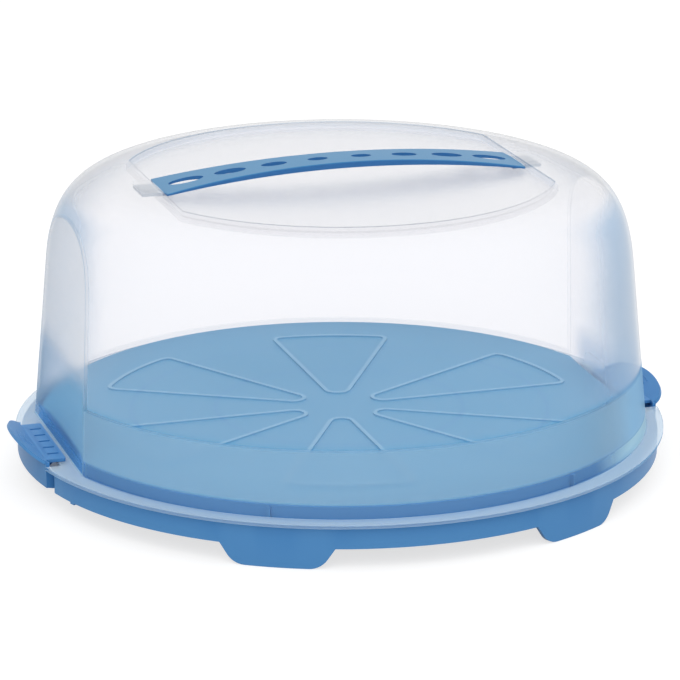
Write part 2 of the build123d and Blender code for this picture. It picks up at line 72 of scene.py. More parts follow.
# ---------------------------------------------------------------- node helpers
class NodeSheet:
    """A node tree with short calls to add and join nodes."""

    def __init__(self, tree: bpy.types.NodeTree) -> None:
        """Keeps the tree.

        Args:
            tree: The node tree of a material, a world or a group.
        """
        self.tree = tree

    def add(self, kind: str, **settings: object) -> bpy.types.Node:
        """Adds a node.

        Args:
            kind: The node's type name.
            settings: Properties of the node and their values.

        Returns:
            The new node.
        """
        node = self.tree.nodes.new(kind)
        for name, value in settings.items():
            setattr(node, name, value)
        return node

    def feed(self, node: bpy.types.Node, **inputs: object) -> bpy.types.Node:
        """Gives a node's inputs a value or a link.

        Args:
            node: The node.
            inputs: Socket names, with underscores for spaces, and values or output sockets.

        Returns:
            The same node.
        """
        for name, value in inputs.items():
            self.put(node.inputs[name.replace("_", " ")], value)
        return node

    def put(self, socket: bpy.types.NodeSocket, value: object) -> None:
        """Links an output to a socket, or sets the socket's value.

        Args:
            socket: The input socket.
            value: An output socket, a colour or a number.
        """
        if isinstance(value, bpy.types.NodeSocket):
            self.tree.links.new(value, socket)
        elif isinstance(value, tuple) and socket.type == "RGBA" and len(value) == 3:
            socket.default_value = (*value, 1.0)
        else:
            socket.default_value = value

    def math(self, operation: str, first: object, second: object = 0.0) -> bpy.types.NodeSocket:
        """Adds a Math node.

        Args:
            operation: The node's operation.
            first: Its first number or link.
            second: Its second one.

        Returns:
            The node's value.
        """
        node = self.add("ShaderNodeMath", operation=operation)
        self.put(node.inputs[0], first)
        self.put(node.inputs[1], second)
        return node.outputs["Value"]

    def madd(self, value: object, factor: float, addend: float) -> bpy.types.NodeSocket:
        """Adds a Math node that multiplies and adds.

        Args:
            value: What is multiplied.
            factor: What it is multiplied by.
            addend: What is added to the product.

        Returns:
            The node's value.
        """
        result = self.math("MULTIPLY_ADD", value, factor)
        result.node.inputs[2].default_value = addend
        return result

    def times(self, first: object, *others: object) -> object:
        """Multiplies values.

        Args:
            first: The first value.
            others: The values that it is multiplied by in turn.

        Returns:
            The product.
        """
        for other in others:
            first = self.math("MULTIPLY", first, other)
        return first

    def most(self, first: object, *others: object) -> object:
        """Picks the greatest of some values.

        Args:
            first: The first value.
            others: The values that it is compared with in turn.

        Returns:
            The greatest value.
        """
        for other in others:
            first = self.math("MAXIMUM", first, other)
        return first

    def inverse(self, mask: object) -> bpy.types.NodeSocket:
        """Returns a mask that is 0 where the given one is 1, and 1 where it is 0."""
        return self.math("SUBTRACT", 1.0, mask)

    def toward(self, mask: object, outside: float, inside: float) -> bpy.types.NodeSocket:
        """Returns a value that is outside where the mask is 0, and inside where it is 1."""
        return self.madd(mask, inside - outside, outside)

    def blend(self, share: object, first: object, second: object) -> bpy.types.NodeSocket:
        """Adds a Mix node for colours.

        Args:
            share: Share of the second colour.
            first: The first colour.
            second: The second colour.

        Returns:
            The mixed colour.
        """
        node = self.add("ShaderNodeMix", data_type="RGBA")
        self.put(node.inputs[0], share)
        self.put(node.inputs[6], first)
        self.put(node.inputs[7], second)
        return node.outputs[2]

    def between(self, value: object, low: object, high: object) -> bpy.types.NodeSocket:
        """Adds a smooth step.

        Args:
            value: The value that steps.
            low: Where the step is 0.
            high: Where it is 1, above or below that.

        Returns:
            The step's value.
        """
        node = self.add("ShaderNodeMapRange", interpolation_type="SMOOTHSTEP")
        self.feed(node, Value=value, From_Min=low, From_Max=high)
        return node.outputs["Result"]

    def mix(self, share: object, first: object, second: object) -> bpy.types.NodeSocket:
        """Adds a Mix Shader node.

        Args:
            share: Share of the second shader.
            first: The first shader.
            second: The second shader.

        Returns:
            The mixed shader.
        """
        node = self.add("ShaderNodeMixShader")
        for socket, value in zip(node.inputs, (share, first, second)):
            self.put(socket, value)
        return node.outputs["Shader"]


def make_group(name: str, inputs: dict[str, float], outputs: dict[str, str]) -> bpy.types.NodeTree:
    """Makes an empty shader node group.

    Args:
        name: The group's name.
        inputs: Names and default values of its number inputs.
        outputs: Names and socket types of its outputs.

    Returns:
        The group.
    """
    group = bpy.data.node_groups.new(name, "ShaderNodeTree")
    for label, value in inputs.items():
        socket = group.interface.new_socket(
            name=label, in_out="INPUT", socket_type="NodeSocketFloat"
        )
        socket.default_value = value
    for label, kind in outputs.items():
        group.interface.new_socket(name=label, in_out="OUTPUT", socket_type=kind)
    return group


def moulded_grain_group() -> bpy.types.NodeTree:
    """Fine grain and slow flow marks that every moulding of the carrier shows.

    Returns:
        A group with a Height for bump and a Tone from 0 to 1 for colour and gloss.
    """
    group = make_group(
        "moulded_grain",
        {"Grain Scale": 2200.0, "Flow Scale": 14.0},
        {"Height": "NodeSocketFloat", "Tone": "NodeSocketFloat"},
    )
    sheet = NodeSheet(group)
    given = sheet.add("NodeGroupInput")
    place = sheet.add("ShaderNodeTexCoord")
    grain = sheet.add("ShaderNodeTexNoise")
    sheet.feed(grain, Vector=place.outputs["Object"], Detail=2.0)
    sheet.feed(grain, Scale=given.outputs["Grain Scale"])
    flow = sheet.add("ShaderNodeTexNoise")
    sheet.feed(flow, Vector=place.outputs["Object"], Detail=3.0)
    sheet.feed(flow, Scale=given.outputs["Flow Scale"])
    out = sheet.add("NodeGroupOutput")
    sheet.feed(out, Height=grain.outputs["Fac"], Tone=flow.outputs["Fac"])
    return group


def edge_light_group() -> bpy.types.NodeTree:
    """Convex corners a little paler: a painted edge highlight, found by pointiness.

    Returns:
        A group with a Mask that is 1 on convex edges.
    """
    group = make_group("painted_edge_highlights", {"Softness": 0.06}, {"Mask": "NodeSocketFloat"})
    sheet = NodeSheet(group)
    given = sheet.add("NodeGroupInput")
    surface = sheet.add("ShaderNodeNewGeometry")
    full = sheet.math("ADD", EDGE_POINTINESS, given.outputs["Softness"])
    out = sheet.add("NodeGroupOutput")
    sheet.feed(out, Mask=sheet.between(surface.outputs["Pointiness"], EDGE_POINTINESS, full))
    return group


# ---------------------------------------------------------------- finishes
@dataclass(frozen=True)
class BlueMoulding:
    """Opaque mid-blue polypropylene with a satin moulded surface.

    Attributes:
        name: The material's name.
        body: Colour of the plastic.
        pale: Colour where the flow marks and the painted edge highlights are palest.
        roughness: Roughness of the satin surface.
        specular: Level of the surface's gloss, where 0.5 is plain plastic.
        grain: Depth of the moulded grain, in metres.
        ior: Refractive index of the plastic.
        flow_limits: Tones between which the flow marks rise from nothing to full.
        flow_share: Share of the pale colour in a flow mark.
        flow_matt: What a flow mark adds to the roughness.
        edge_highlight_share: Share of the pale colour on a convex edge, a painted highlight.
        grain_strength: Strength of the grain's bump.
    """

    name: str
    body: Colour = (0.070, 0.242, 0.535)
    pale: Colour = (0.110, 0.310, 0.600)
    roughness: float = 0.34
    specular: float = 0.4
    grain: float = 0.02 * MM
    ior: float = 1.49
    flow_limits: Limits = (0.35, 0.75)
    flow_share: float = 0.16
    flow_matt: float = 0.05
    edge_highlight_share: float = 0.45
    grain_strength: float = 0.25

    def make(self) -> bpy.types.Material:
        """Builds the material.

        Returns:
            The material, with all its nodes on Object coordinates.
        """
        material = bpy.data.materials.new(self.name)
        material.use_nodes = True
        sheet = NodeSheet(material.node_tree)
        shader = material.node_tree.nodes["Principled BSDF"]
        marks = sheet.add("ShaderNodeGroup", node_tree=GROUPS["grain"])
        edges = sheet.add("ShaderNodeGroup", node_tree=GROUPS["edges"])
        flow = sheet.between(marks.outputs["Tone"], *self.flow_limits)
        marked = sheet.times(flow, self.flow_share)
        # Convex edges turn paler: a painted highlight.
        edge_highlight = sheet.times(edges.outputs["Mask"], self.edge_highlight_share)
        colour = sheet.blend(sheet.most(marked, edge_highlight), self.body, self.pale)
        bump = sheet.add("ShaderNodeBump")
        sheet.feed(bump, Strength=self.grain_strength, Distance=self.grain)
        sheet.feed(bump, Height=marks.outputs["Height"])
        sheet.feed(
            shader,
            Base_Color=self.printed(sheet, colour),
            Roughness=sheet.madd(flow, self.flow_matt, self.roughness),
            Normal=bump.outputs["Normal"],
            IOR=self.ior,
            Specular_IOR_Level=self.specular,
        )
        return material

    def printed(self, sheet: NodeSheet, colour: object) -> object:
        """Returns the colour with the marks that only this moulding has. Here there are none."""
        return colour


@dataclass(frozen=True)
class TrayMoulding(BlueMoulding):
    """The tray's plastic, with a paler, finely textured cake plate and still paler slice lines; the
    plate's paleness is partly painted sheen on its lit top, the lines' a painted highlight.

    Attributes:
        plate: Colour of the textured plate, paler than the body partly as painted sheen on its lit
            top.
        line_highlight: Colour of the tops of the raised slice lines, paler as a painted highlight.
        plate_height: Height of the plate's top, in metres.
        line_height: How far the slice lines stand above it, in metres.
        sink_radii: Radii of the faint sink rings above the ribs under the plate, darkened as
            painted shade, in metres.
        sink_half_width: Half the width of a ring and of its full middle, in metres.
        sink_shade_share: Share of the body colour in a ring, which darkens it as painted shade.
    """

    specular: float = 0.14
    grain: float = 0.003 * MM
    plate: Colour = (0.118, 0.360, 0.582)
    line_highlight: Colour = (0.210, 0.450, 0.655)
    plate_height: float = 29.3 * MM
    line_height: float = 0.7 * MM
    sink_radii: tuple[float, float] = (66.0 * MM, 111.0 * MM)
    sink_half_width: Limits = (1.6 * MM, 0.4 * MM)
    sink_shade_share: float = 0.24

    def printed(self, sheet: NodeSheet, colour: object) -> object:
        """Lays the plate's colour with its painted sheen, the lines' painted highlight and the sink
        rings' painted shade over the body colour.

        Args:
            sheet: The material's nodes.
            colour: The body colour with its flow marks and painted edge highlights.

        Returns:
            The colour with the marks.
        """
        place = Place(sheet)
        # The plate's top turns paler: its texture, with painted sheen of the lit top.
        top = sheet.between(place.z, self.plate_height - 0.5 * MM, self.plate_height - 0.1 * MM)
        colour = sheet.blend(top, colour, self.plate)
        raised = self.plate_height + self.line_height
        # The tops of the slice lines turn paler still: a painted highlight.
        lines = sheet.between(place.z, raised - 0.6 * MM, raised - 0.3 * MM)
        colour = sheet.blend(lines, colour, self.line_highlight)
        for radius in self.sink_radii:
            # Each ring darkens toward the body colour: painted shade of a shallow sink.
            off = sheet.math("ABSOLUTE", sheet.math("SUBTRACT", place.radius, radius))
            ring = sheet.times(sheet.between(off, *self.sink_half_width), self.sink_shade_share, top)
            colour = sheet.blend(ring, colour, self.body)
        return colour


@dataclass(frozen=True)
class StrapMoulding(BlueMoulding):
    """The strap's plastic, deeper in colour on its thick edges as painted shade.

    Attributes:
        side: Colour of the upright edges, a painted shade.
        side_shade_limits: Upward parts of the normal between which the painted shade comes in.
        tongue: Colour of the tongues, which are pale as no blue shows through the lid there.
    """

    side: Colour = (0.036, 0.155, 0.385)
    side_shade_limits: Limits = (0.75, 0.35)
    tongue: Colour = (0.62, 0.69, 0.77)

    def printed(self, sheet: NodeSheet, colour: object) -> object:
        """Lays the deeper colour of painted shade over the upright faces, and the pale one over the
        tongues.

        Args:
            sheet: The material's nodes.
            colour: The body colour with its flow marks and painted edge highlights.

        Returns:
            The colour with both laid over it.
        """
        place = Place(sheet)
        # Upright faces turn deeper blue: painted shade.
        colour = sheet.blend(sheet.between(place.faces_up, *self.side_shade_limits), colour, self.side)
        tongues = sheet.between(place.side, TONGUE_START - 1.5 * MM, TONGUE_START - 1.0 * MM)
        return sheet.blend(tongues, colour, self.tongue)


class Place:
    """Object coordinates and normal of a material, split into numbers that masks are made from.

    Attributes:
        z: Height above the feet.
        side: Distance from the middle plane between the latches.
        across: Distance from the plane through both latches.
        radius: Distance from the upright axis.
        faces_side: How far the surface faces a latch, from 0 to 1.
        faces_up: How far it faces up or down, from 0 to 1.
        outward: Positive where the lid's wall is seen from its outer side, and else negative.
    """

    def __init__(self, sheet: NodeSheet) -> None:
        """Adds the coordinate nodes.

        Args:
            sheet: The material's nodes.
        """
        source = sheet.add("ShaderNodeTexCoord")
        at = sheet.add("ShaderNodeSeparateXYZ")
        sheet.feed(at, Vector=source.outputs["Object"])
        facing = sheet.add("ShaderNodeSeparateXYZ")
        sheet.feed(facing, Vector=source.outputs["Normal"])
        self.z = at.outputs["Z"]
        self.side = sheet.math("ABSOLUTE", at.outputs["X"])
        self.across = sheet.math("ABSOLUTE", at.outputs["Y"])
        squares = [sheet.math("POWER", distance, 2.0) for distance in (self.side, self.across)]
        self.radius = sheet.math("SQRT", sheet.math("ADD", *squares))
        self.faces_side = sheet.math("ABSOLUTE", facing.outputs["X"])
        self.faces_up = sheet.math("ABSOLUTE", facing.outputs["Z"])
        products = [sheet.times(facing.outputs[axis], at.outputs[axis]) for axis in "XY"]
        self.outward = sheet.math("ADD", *products)


@dataclass(frozen=True)
class Wall:
    """Masks of the lid's wall, each a value that is 1 where it says.

    Attributes:
        place: Where the surface lies.
        near: The wall is seen from its outer side.
        far: The wall is seen from its inner side.
        flat: On the two flats.
        grazing: The wall is seen edge on.
        step: On the steep step round the dish.
        smooth: Off that step.
        foot: At the cloudy foot of the flats.
        band: In the satin band, seen from its outer side.
        round_band: In its round part.
    """

    place: Place
    near: bpy.types.NodeSocket
    far: bpy.types.NodeSocket
    flat: bpy.types.NodeSocket
    grazing: bpy.types.NodeSocket
    step: bpy.types.NodeSocket
    smooth: bpy.types.NodeSocket
    foot: bpy.types.NodeSocket
    band: bpy.types.NodeSocket
    round_band: bpy.types.NodeSocket


@dataclass(frozen=True)
class ClearMoulding:
    """Clear, faintly milky polypropylene with a satin band at the foot of the wall.

    Pairs of limits are the values at which a mask is 0 and at which it is 1.

    Attributes:
        name: The material's name.
        tint: Share of each colour that one surface lets through.
        milk: Colour of the plastic where it is seen edge on.
        low_tray_reflection: The bluer colour that it takes on toward the band, a painted reflection
            of the blue tray.
        low_top: Height above which nothing of it is seen, in metres.
        milk_roughness: Roughness of the milky colour.
        ripple: Depth of the slow waves in the surface, in metres.
        ripple_strength: Strength of their bump.
        grazing_limits: Limits of how far edge on the wall is seen, from 0 to 1.
        upright_limits: Limits of the upward part of the normal for an upright wall.
        flat_limits: Limits of the sideways part of the normal for the flats.
        flat_rim_limits: Limits of that part for the flats with their rounded edges.
        flat_inner_limits: Limits of that part for what lies outside the flats' level middle.
        rim_haze: Cover of the milky colour where the wall is seen edge on.
        flat_share: Share of that cover on the flats.
        far_share: Share of that cover where the wall is seen from its inner side.
        gloss_roughness: Roughness of the clear surface's reflection.
        far_flat_gloss: Share of that reflection on the flats seen from inside.
        satin: Roughness of the satin band.
        satin_ior: Index that the band scatters with.
        flat_satin: Roughness of the flats' cloudy foot.
        flat_ior: Index that it scatters with.
        frosted_share: Share of the light that both scatter, where the rest meets the milky colour.
        satin_tint: Share of each colour that one face of the band lets through.
        satin_milk: Colour of the plastic in the band.
        satin_rim_milk: Its paler colour on the flats and where it is seen edge on.
        satin_haze: Cover of that colour where the band faces the eye.
        satin_rim_haze: What is added to that cover where the band is seen edge on.
        foot_top: Height where the cloudy foot of the flats fades out, seen from inside, in metres.
        foot_solid: Height where it is full, seen from inside, in metres.
        foot_lift: How much higher it reaches seen from outside, in metres.
        foot_haze: Cover of the band's colour at the foot of the flats.
        foot_far: Share of that cover where the flat is seen from inside.
        foot_ends: Limits of how far it reaches from the flat's middle, seen from inside.
        satin_top: Height of the band's upper edge, in metres.
        satin_bottom: Height of the band's lower edge, in metres.
        ior: Refractive index that the wall mirrors with.
        flange_top: Height of the flange's top, in metres.
        strip_milk: Colour of the faint haze between the flange and the band.
        strip_haze: Cover of that colour.
        flat_painted_blue: Colour between the flange and the foot of the flats, a saturated blue
            painted as light over the tray's shaded side seen through.
        flat_painted_cover: Cover of that colour.
        flange_milk_and_highlight: Colour of the flange's level faces, pale partly from the milky
            plastic and partly as a painted highlight.
        flange_haze_and_highlight: Cover of that colour on each face of the flange.
        step: Colour of the steep step round the dish, where it faces the eye.
        step_haze: Cover of that colour.
        painted_edge_shade: Colour of the thin dark lines of painted shade along the dish's rim and
            the edges of the flats.
        painted_edge_cover: Cover of that colour.
        painted_edge_flat_share: Share of that cover on the edges of the flats.
        pad: Colour of the satin pads over the slots that hold the handle's tongues.
        pad_haze: Cover of that colour.
    """

    name: str
    tint: Colour = (0.984, 0.983, 0.992)
    milk: Colour = (0.32, 0.50, 0.72)
    low_tray_reflection: Colour = (0.19, 0.42, 0.71)
    low_top: float = 92.0 * MM
    milk_roughness: float = 0.5
    ripple: float = 0.1 * MM
    ripple_strength: float = 0.1
    grazing_limits: Limits = (0.39, 0.75)
    upright_limits: Limits = (0.85, 0.45)
    flat_limits: Limits = (0.985, 0.995)
    flat_rim_limits: Limits = (0.941, 0.953)
    flat_inner_limits: Limits = (0.996, 0.989)
    rim_haze: float = 0.66
    flat_share: float = 0.25
    far_share: float = 0.3
    gloss_roughness: float = 0.28
    far_flat_gloss: float = 0.3
    satin: float = 0.5
    satin_ior: float = 1.12
    flat_satin: float = 0.3
    flat_ior: float = 1.02
    frosted_share: float = 0.8
    satin_tint: Colour = (0.984, 0.984, 0.992)
    satin_milk: Colour = (0.47, 0.62, 0.74)
    satin_rim_milk: Colour = (0.335, 0.595, 0.85)
    satin_haze: float = 0.6
    satin_rim_haze: float = 0.1
    foot_top: float = 60.0 * MM
    foot_solid: float = 34.0 * MM
    foot_lift: float = 22.0 * MM
    foot_haze: float = 0.7
    foot_far: float = 0.55
    foot_ends: Limits = (54.0 * MM, 24.0 * MM)
    satin_top: float = 57.0 * MM
    satin_bottom: float = 31.0 * MM
    ior: float = 1.45
    flange_top: float = 23.6 * MM
    strip_milk: Colour = (0.50, 0.76, 0.88)
    strip_haze: float = 0.07
    flat_painted_blue: Colour = (0.18, 0.50, 0.95)
    flat_painted_cover: float = 0.29
    flange_milk_and_highlight: Colour = (0.62, 0.80, 0.94)
    flange_haze_and_highlight: float = 0.42
    step: Colour = (0.76, 0.78, 0.82)
    step_haze: float = 0.3
    painted_edge_shade: Colour = (0.20, 0.30, 0.42)
    painted_edge_cover: float = 0.5
    painted_edge_flat_share: float = 0.2
    pad: Colour = (0.66, 0.69, 0.73)
    pad_haze: float = 0.25

    def make(self) -> bpy.types.Material:
        """Builds the material.

        Returns:
            The material, with all its nodes on Object coordinates.
        """
        material = bpy.data.materials.new(self.name)
        material.use_nodes = True
        sheet = NodeSheet(material.node_tree)
        marks = sheet.add("ShaderNodeGroup", node_tree=GROUPS["grain"])
        bump = sheet.add("ShaderNodeBump")
        sheet.feed(bump, Strength=self.ripple_strength, Distance=self.ripple)
        sheet.feed(bump, Height=marks.outputs["Tone"])
        normal = bump.outputs["Normal"]
        wall = self.read_wall(sheet, normal)
        colour, cover = self.milkiness(sheet, wall)
        milky = material.node_tree.nodes["Principled BSDF"]
        sheet.feed(milky, Base_Color=colour, Roughness=self.milk_roughness)
        sheet.feed(milky, Normal=normal, Specular_IOR_Level=0.0)
        clear = sheet.add("ShaderNodeBsdfTransparent")
        sheet.feed(clear, Color=self.tint)
        see_through = sheet.mix(cover, clear.outputs["BSDF"], milky.outputs["BSDF"])
        mirror = sheet.add("ShaderNodeBsdfAnisotropic")
        sheet.feed(mirror, Roughness=self.gloss_roughness, Normal=normal)
        glossy = sheet.mix(self.shine(sheet, wall, normal), see_through, mirror.outputs["BSDF"])
        round_frost = self.frosting(sheet, self.satin, self.satin_ior)
        flat_frost = self.frosting(sheet, self.flat_satin, self.flat_ior)
        frosted = sheet.mix(wall.flat, round_frost, flat_frost)
        facing_band = sheet.times(wall.round_band, sheet.inverse(wall.grazing))
        clouded = sheet.most(facing_band, sheet.times(wall.foot, wall.near))
        surface = sheet.mix(sheet.times(clouded, self.frosted_share), glossy, frosted)
        sheet.feed(material.node_tree.nodes["Material Output"], Surface=surface)
        return material

    def read_wall(self, sheet: NodeSheet, normal: bpy.types.NodeSocket) -> Wall:
        """Builds the masks that the parts of this finish share.

        Args:
            sheet: The material's nodes.
            normal: The surface's normal with its slow waves.

        Returns:
            The masks.
        """
        place = Place(sheet)
        edge_on = sheet.add("ShaderNodeLayerWeight")
        sheet.feed(edge_on, Blend=0.5, Normal=normal)
        near = sheet.between(place.outward, -0.5 * MM, 0.5 * MM)
        flat = sheet.between(place.faces_side, *self.flat_limits)
        step = self.dish_step(sheet, place)
        band = sheet.times(self.satin_strip(sheet, place), near)
        return Wall(
            place=place,
            near=near,
            far=sheet.inverse(near),
            flat=flat,
            grazing=sheet.between(edge_on.outputs["Facing"], *self.grazing_limits),
            step=step,
            smooth=sheet.inverse(step),
            foot=self.flat_foot(sheet, place, near, flat),
            band=band,
            round_band=sheet.times(band, sheet.inverse(flat)),
        )

    def milkiness(self, sheet: NodeSheet, wall: Wall) -> tuple[object, object]:
        """Builds the milky colour that lies over the clear wall, and its cover.

        Args:
            sheet: The material's nodes.
            wall: The wall's masks.

        Returns:
            The colour, and the share of the surface that it covers.
        """
        satin = sheet.blend(wall.grazing, self.satin_milk, self.satin_rim_milk)
        # Lower down the haze turns bluer: a painted reflection of the blue tray.
        low = sheet.between(wall.place.z, self.low_top, self.satin_top)
        haze = sheet.blend(low, self.milk, self.low_tray_reflection)
        colour = sheet.blend(sheet.most(wall.band, wall.foot), haze, satin)
        satin_cover = sheet.madd(wall.grazing, self.satin_rim_haze, self.satin_haze)
        foot_cover = sheet.toward(wall.near, self.foot_haze * self.foot_far, self.foot_haze)
        cover = sheet.most(
            self.rim_cover(sheet, wall),
            sheet.times(wall.round_band, satin_cover),
            sheet.times(wall.foot, foot_cover),
        )
        for mask, shade, strength in self.zones(sheet, wall):
            colour = sheet.blend(mask, colour, shade)
            cover = sheet.most(cover, sheet.times(mask, strength))
        return colour, cover

    def rim_cover(self, sheet: NodeSheet, wall: Wall) -> object:
        """Builds the cover where the upright wall is seen edge on.

        Args:
            sheet: The material's nodes.
            wall: The wall's masks.

        Returns:
            The cover, from 0 to 1.
        """
        upright = sheet.between(wall.place.faces_up, *self.upright_limits)
        on_flat = sheet.toward(wall.flat, 1.0, self.flat_share)
        by_side = sheet.toward(wall.near, self.far_share, 1.0)
        return sheet.times(wall.grazing, upright, wall.smooth, on_flat, by_side, self.rim_haze)

    def shine(self, sheet: NodeSheet, wall: Wall, normal: bpy.types.NodeSocket) -> object:
        """Builds the share of light that the clear surface mirrors.

        The index mirrors alike on both faces of the wall, so that no light is trapped in it.

        Args:
            sheet: The material's nodes.
            wall: The wall's masks.
            normal: The surface's normal with its slow waves.

        Returns:
            The share, which is nil on the satin and cloudy parts and on the step round the dish.
        """
        surface = sheet.add("ShaderNodeNewGeometry")
        mirrored = sheet.add("ShaderNodeFresnel")
        ior = sheet.toward(surface.outputs["Backfacing"], self.ior, 1.0 / self.ior)
        sheet.feed(mirrored, IOR=ior, Normal=normal)
        above_band = sheet.between(wall.place.z, self.satin_top, self.satin_top + 4.0 * MM)
        polished = sheet.times(sheet.most(wall.far, above_band), wall.smooth)
        polished = sheet.times(polished, sheet.inverse(wall.foot))
        far_flat = sheet.toward(sheet.times(wall.flat, wall.far), 1.0, self.far_flat_gloss)
        return sheet.times(mirrored.outputs["Fac"], polished, far_flat)

    def frosting(self, sheet: NodeSheet, roughness: float, ior: float) -> bpy.types.NodeSocket:
        """Adds a shader that scatters the light it lets through.

        Args:
            sheet: The material's nodes.
            roughness: How far it scatters.
            ior: Index that it scatters with.

        Returns:
            The shader.
        """
        node = sheet.add("ShaderNodeBsdfRefraction")
        sheet.feed(node, Color=self.satin_tint, Roughness=roughness, IOR=ior)
        return node.outputs["BSDF"]

    def dish_step(self, sheet: NodeSheet, place: Place) -> object:
        """Builds the mask of the steep step round the dish, on both faces of the wall.

        Args:
            sheet: The material's nodes.
            place: Where the surface lies.

        Returns:
            A value that is 1 on the step.
        """
        high = sheet.between(place.z, LID_TOP - 7.0 * MM, LID_TOP - 6.0 * MM)
        steep = sheet.between(place.faces_up, 0.95, 0.88)
        inside = sheet.between(place.radius, DISH_RADIUS + 3.5 * MM, DISH_RADIUS + 2.5 * MM)
        return sheet.times(high, steep, inside)

    def flat_foot(self, sheet: NodeSheet, place: Place, near: object, flat: object) -> object:
        """Builds the mask of the cloudy foot of the flats, which fades out upward.

        Args:
            sheet: The material's nodes.
            place: Where the surface lies.
            near: A value that is 1 where the wall is seen from outside.
            flat: A value that is 1 on the flats.

        Returns:
            A value that is 1 at the foot.
        """
        level = sheet.math("SUBTRACT", place.z, sheet.times(near, self.foot_lift))
        faded = sheet.between(level, self.foot_top, self.foot_solid)
        above_strip = sheet.between(place.z, self.satin_bottom - 2.0 * MM, self.satin_bottom)
        above_flange = sheet.between(place.z, self.flange_top, self.flange_top + 1.0 * MM)
        ends = sheet.between(place.across, *self.foot_ends)
        outside = sheet.times(near, above_strip)
        inside = sheet.times(sheet.inverse(near), above_flange, ends)
        return sheet.times(faded, flat, sheet.most(outside, inside))

    def zones(self, sheet: NodeSheet, wall: Wall) -> list[tuple[object, Colour, float]]:
        """Builds the masks of the zones with a colour of their own.

        Args:
            sheet: The material's nodes.
            wall: The wall's masks.

        Returns:
            Each zone's mask, its colour and its cover.
        """
        place = wall.place
        edge = 0.3 * MM
        far_step = sheet.times(wall.step, wall.far)
        # The flange's level faces turn pale: milky plastic, with a painted highlight.
        level = sheet.between(place.faces_up, 0.3, 0.7)
        low = sheet.between(place.z, self.flange_top + edge, self.flange_top + edge / 3)
        flange = sheet.times(low, level)
        above_flange = sheet.between(place.z, self.flange_top, self.flange_top + edge)
        below_band = sheet.between(place.z, self.satin_bottom, self.satin_bottom - edge)
        strip = sheet.times(above_flange, below_band)
        on_flat = sheet.times(strip, wall.flat, wall.near)
        strip = sheet.math("SUBTRACT", strip, on_flat)
        return [
            (far_step, self.step, self.step_haze),
            (strip, self.strip_milk, self.strip_haze),
            # On the flats a saturated blue is painted over the tray's shaded side seen through:
            # painted light.
            (on_flat, self.flat_painted_blue, self.flat_painted_cover),
            (flange, self.flange_milk_and_highlight, self.flange_haze_and_highlight),
            (self.pads(sheet, place), self.pad, self.pad_haze),
            # Thin dark lines of painted shade on the dish's rim and the flats' edges.
            (self.painted_edge_lines(sheet, place), self.painted_edge_shade, self.painted_edge_cover),
        ]

    def pads(self, sheet: NodeSheet, place: Place) -> object:
        """Builds the mask of the satin pads on top of the slots for the handle's tongues.

        Args:
            sheet: The material's nodes.
            place: Where the surface lies.

        Returns:
            A value that is 1 on the pads.
        """
        edge = 0.3 * MM
        past_dish = sheet.between(place.side, TONGUE_START, TONGUE_START + edge)
        before_tip = sheet.between(place.side, TONGUE_END + edge, TONGUE_END)
        width = sheet.between(place.across, TONGUE_HALF_WIDTH + edge, TONGUE_HALF_WIDTH)
        on_top = sheet.between(place.z, LID_TOP - 2.5 * MM, LID_TOP - 2.2 * MM)
        return sheet.times(past_dish, before_tip, width, on_top)

    def painted_edge_lines(self, sheet: NodeSheet, place: Place) -> object:
        """Builds the mask of the thin dark lines of painted shade along the dish's rim and the
        edges of the flats.

        Args:
            sheet: The material's nodes.
            place: Where the surface lies.

        Returns:
            A value that is 1 on the dish's rim, and less on the edges of the flats.
        """
        near_top = sheet.between(place.z, LID_TOP - 1.0 * MM, LID_TOP - 0.5 * MM)
        dish_rim = sheet.times(near_top, sheet.between(place.faces_up, 0.985, 0.93))
        foot = self.flange_top
        above_flange = sheet.between(place.z, foot + 0.6 * MM, foot + 1.2 * MM)
        flat_edge = sheet.times(
            sheet.between(place.faces_side, *self.flat_rim_limits),
            sheet.between(place.faces_side, *self.flat_inner_limits),
            above_flange,
        )
        return sheet.most(dish_rim, sheet.times(flat_edge, self.painted_edge_flat_share))

    def satin_strip(self, sheet: NodeSheet, place: Place) -> object:
        """Builds the mask of the satin band on both faces of the wall.

        Args:
            sheet: The material's nodes.
            place: Where the surface lies.

        Returns:
            A value that is 1 in the band.
        """
        edge = 1.2 * MM
        below_top = sheet.between(place.z, self.satin_top + edge, self.satin_top - edge)
        above_bottom = sheet.between(place.z, self.satin_bottom - edge, self.satin_bottom + edge)
        return sheet.times(below_top, above_bottom)


GROUPS = {"grain": moulded_grain_group(), "edges": edge_light_group()}


def dress(node: str, material: bpy.types.Material) -> bpy.types.Object:
    """Gives a solid of the frame its finish.

    Args:
        node: The solid's name.
        material: The finish.

    Returns:
        The solid's object.
    """
    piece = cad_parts[node]
    piece.data.materials.clear()
    piece.data.materials.append(material)
    log.info("dressed %s in %s", node, material.name)
    return piece


def add_piece(
    name: str, shape: bmesh.types.BMesh, material: bpy.types.Material, body: str
) -> bpy.types.Object:
    """Makes an object of a new blue piece and lets it ride on a body.

    Args:
        name: The piece's name.
        shape: Its shape, in the carrier's own frame; it is freed.
        material: Its finish.
        body: The body that carries it.

    Returns:
        The piece.
    """
    mesh = bpy.data.meshes.new(name)
    shape.to_mesh(mesh)
    shape.free()
    for face in mesh.polygons:
        face.use_smooth = True
    mesh.materials.append(material)
    piece = bpy.data.objects.new(name, mesh)
    bpy.context.scene.collection.objects.link(piece)
    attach(piece, body)
    log.info("added %s on %s, %d faces", name, body, len(mesh.polygons))
    return piece


# ---------------------------------------------------------------- sub-assemblies
@dataclass
class Tray:
    """The moulded tray with its cake plate."""

    finish: TrayMoulding = field(default_factory=lambda: TrayMoulding("tray_blue"))

    def build(self) -> None:
        """Dresses the tray."""
        dress("base_tray", self.finish.make())


